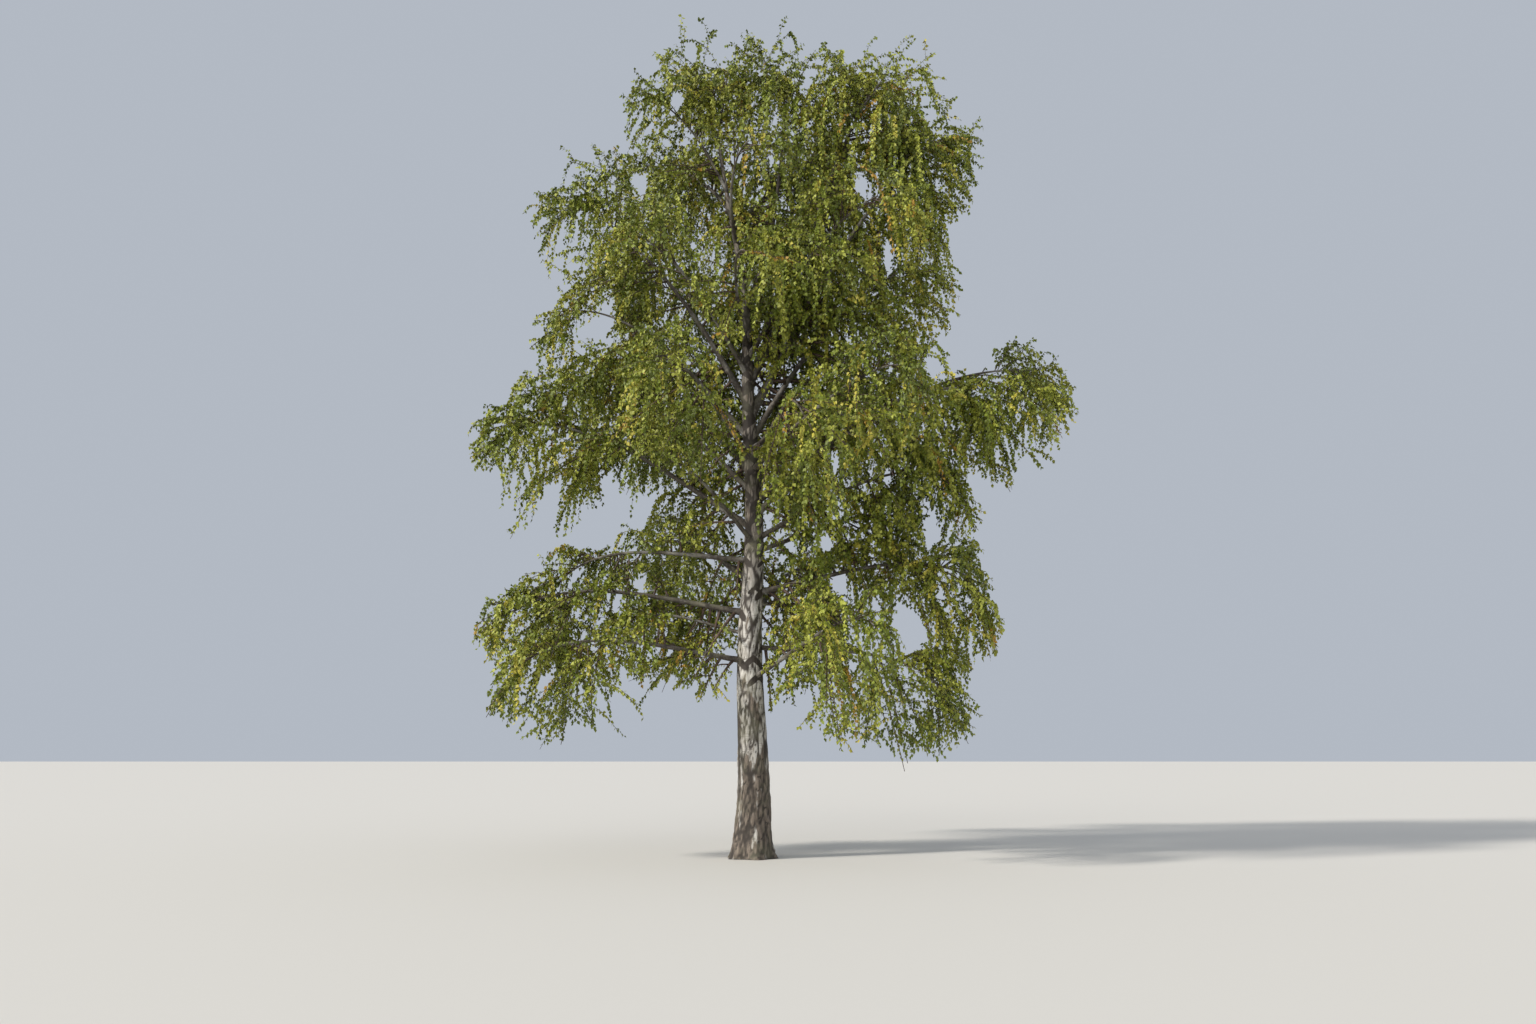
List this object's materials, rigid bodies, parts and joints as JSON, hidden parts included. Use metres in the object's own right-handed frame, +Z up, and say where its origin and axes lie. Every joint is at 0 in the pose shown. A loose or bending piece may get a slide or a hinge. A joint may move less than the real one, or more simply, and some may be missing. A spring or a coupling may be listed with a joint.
{
  "type": "silver birch tree",
  "caption": "Tall weeping silver birch with a single whitish trunk, rising boughs and hanging masses of small green and yellow leaves; stands rooted in level ground.",
  "frame": {"origin": "middle of the flat cut at the foot of the trunk, at ground level", "axes": "+Z up along the trunk, +X to the right and +Y away from the viewer as the picture shows the tree"},
  "size_m": [10.4299, 8.731, 15.0862],
  "materials": {
    "trunk_bark": "rough white bark with dark cracks and patches",
    "bough_bark": "rough grey-brown bark",
    "foliage": "matte green leaves with yellow ones among them"
  },
  "bodies": {
    "root": {"trunk": "trunk_bark", "bough_curtain_right": "bough_bark", "bough_far_left": "bough_bark", "bough_far_right": "bough_bark", "bough_hanging_right": "bough_bark", "bough_left_shoulder": "bough_bark", "bough_low_back_left": "bough_bark", "bough_low_back_right": "bough_bark", "bough_low_front_right": "bough_bark", "bough_low_left_hanging": "bough_bark", "bough_low_left_tip": "bough_bark", "bough_low_right_tip": "bough_bark", "bough_middle_back_left": "bough_bark", "bough_middle_back_right": "bough_bark", "bough_middle_right": "bough_bark", "bough_right_shoulder": "bough_bark", "bough_top_middle": "bough_bark", "bough_top_right": "bough_bark", "bough_upper_back_left": "bough_bark", "bough_upper_back_right": "bough_bark", "bough_upper_left": "bough_bark", "bough_upper_right": "bough_bark", "foliage_crown_tip": "foliage", "foliage_curtain": "foliage", "foliage_curtain_right": "foliage", "foliage_far_left": "foliage", "foliage_far_right": "foliage", "foliage_hanging_left": "foliage", "foliage_hanging_right": "foliage", "foliage_left_shoulder": "foliage", "foliage_low_back_left": "foliage", "foliage_low_back_right": "foliage", "foliage_low_front_right": "foliage", "foliage_low_inner_right": "foliage", "foliage_low_left": "foliage", "foliage_low_left_hanging": "foliage", "foliage_low_left_inner": "foliage", "foliage_low_left_tip": "foliage", "foliage_low_right": "foliage", "foliage_low_right_tip": "foliage", "foliage_middle_back_left": "foliage", "foliage_middle_back_right": "foliage", "foliage_middle_front_left": "foliage", "foliage_middle_front_right": "foliage", "foliage_middle_left": "foliage", "foliage_middle_right": "foliage", "foliage_right_shoulder": "foliage", "foliage_top_back_left": "foliage", "foliage_top_back_right": "foliage", "foliage_top_front": "foliage", "foliage_top_left": "foliage", "foliage_top_middle": "foliage", "foliage_top_right": "foliage", "foliage_upper_back_left": "foliage", "foliage_upper_back_right": "foliage", "foliage_upper_front": "foliage", "foliage_upper_front_left": "foliage", "foliage_upper_front_right": "foliage", "foliage_upper_left": "foliage", "foliage_upper_right": "foliage"}
  },
  "joints": []
}
